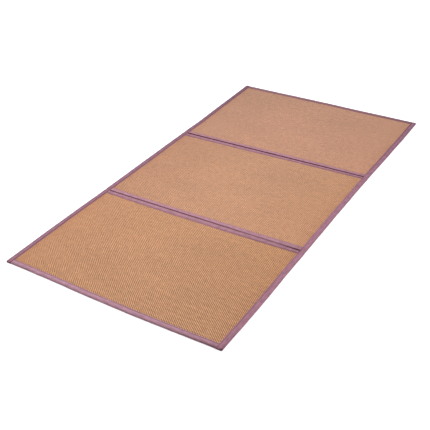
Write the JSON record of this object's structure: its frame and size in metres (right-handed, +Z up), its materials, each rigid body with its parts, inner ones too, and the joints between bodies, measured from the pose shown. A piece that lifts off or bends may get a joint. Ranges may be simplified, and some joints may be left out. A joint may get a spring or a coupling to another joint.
{
  "type": "folding tatami mat",
  "caption": "Long flat mat of woven rush panels, bound in mauve cloth tape round its edges and at its folds, lying open.",
  "frame": {"origin": "under the middle of the mat's outline, on the surface that it lies on", "axes": "+X across the mat, +Y along it from the front end to the back end, +Z up"},
  "size_m": [0.9996, 1.9026, 0.0068],
  "materials": {
    "rush": "dry woven rush, tan, matt",
    "cotton_tape": "mauve cotton tape, matt"
  },
  "bodies": {
    "root": {"panel_front": "rush", "panel_middle": "rush", "panel_back": "rush", "tape_left": "cotton_tape", "tape_right": "cotton_tape", "tape_front": "cotton_tape", "tape_back": "cotton_tape", "fold_tape_front": "cotton_tape", "fold_tape_back": "cotton_tape"}
  },
  "joints": []
}
